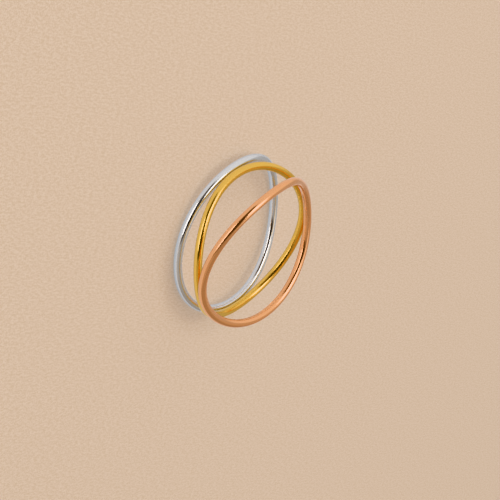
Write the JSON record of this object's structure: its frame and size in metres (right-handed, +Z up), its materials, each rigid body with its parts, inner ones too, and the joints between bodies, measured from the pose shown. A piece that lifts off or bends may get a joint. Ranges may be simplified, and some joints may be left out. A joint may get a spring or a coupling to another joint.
{
  "type": "layered ring",
  "caption": "Slim finger ring of stacked wavy round-wire bands in white, yellow and rose gold that touch at their crests.",
  "frame": {"origin": "on the surface the ring lies on, under the middle of its bounding box", "axes": "+Z up along the finger's axis, from the white band at the bottom to the rose band on top; +X close to one of the two places where the white band touches the surface"},
  "size_m": [0.0206, 0.0202, 0.0088],
  "materials": {
    "white_gold": "mirror-polished white gold",
    "yellow_gold": "mirror-polished yellow gold",
    "rose_gold": "mirror-polished rose gold"
  },
  "bodies": {
    "root": {"white_band": "white_gold", "yellow_band": "yellow_gold", "rose_band": "rose_gold"}
  },
  "joints": []
}
